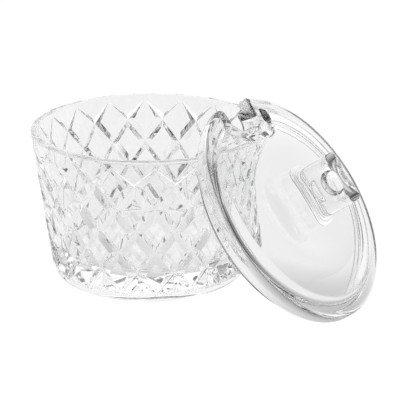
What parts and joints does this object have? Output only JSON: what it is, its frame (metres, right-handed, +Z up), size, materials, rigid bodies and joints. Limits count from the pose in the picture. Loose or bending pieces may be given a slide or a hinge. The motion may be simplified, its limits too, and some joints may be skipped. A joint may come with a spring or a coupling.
{
  "type": "covered glass dish",
  "caption": "Clear pressed-glass dish with a diamond relief and a domed lid, which has a spoon notch and a tab knob, leaning on its rim.",
  "frame": {"origin": "middle of the bowl's flat base, on the surface it stands on", "axes": "+Z up along the bowl's axis; +X towards the leaning lid; +Y completes a right-handed frame"},
  "size_m": [0.1499, 0.0996, 0.0787],
  "materials": {
    "clear_glass": "polished"
  },
  "bodies": {
    "bowl": {"bowl": "clear_glass"},
    "lid": {"lid": "clear_glass", "knob": "clear_glass"}
  },
  "joints": [
    {"name": "lid_lift", "type": "slide", "parent": "bowl", "child": "lid", "axis": [0, 0, 1], "range_m": [0, 0.1]}
  ]
}
